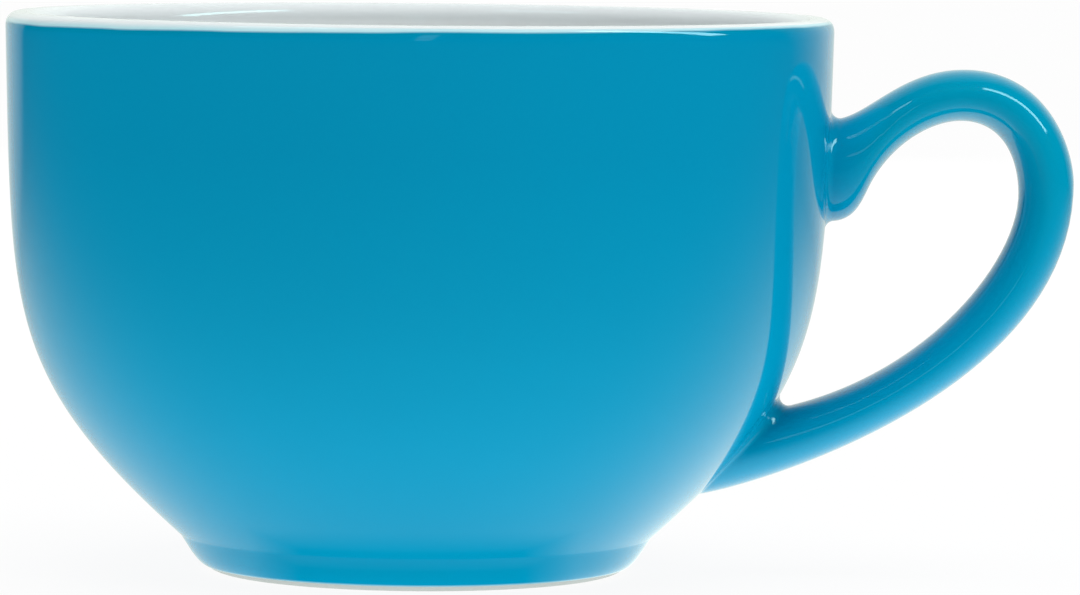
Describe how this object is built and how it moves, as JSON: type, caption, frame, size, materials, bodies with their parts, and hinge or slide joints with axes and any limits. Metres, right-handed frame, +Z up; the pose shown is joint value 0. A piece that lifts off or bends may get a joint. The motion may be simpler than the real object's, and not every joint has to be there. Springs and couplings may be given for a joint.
{
  "type": "cappuccino cup",
  "caption": "Wide rounded cappuccino cup on a small bare foot ring, white inside and over the lip, blue outside, with an ear-shaped handle on one side.",
  "frame": {"origin": "centre of the foot ring, on the surface that the cup stands on", "axes": "+Z up along the axis of the bowl, +X towards the handle, which lies in the XZ plane"},
  "size_m": [0.1357, 0.105, 0.0708],
  "materials": {
    "clay": "matt bare fired clay",
    "slip": "matt fired slip",
    "blue_glaze": "gloss",
    "white_glaze": "gloss"
  },
  "bodies": {
    "root": {"bowl": "clay", "handle": "clay", "upper_handle_joint": "slip", "lower_handle_joint": "slip", "outer_glaze": "blue_glaze", "handle_glaze": "blue_glaze", "liner_glaze": "white_glaze", "base_glaze": "white_glaze"}
  },
  "joints": []
}
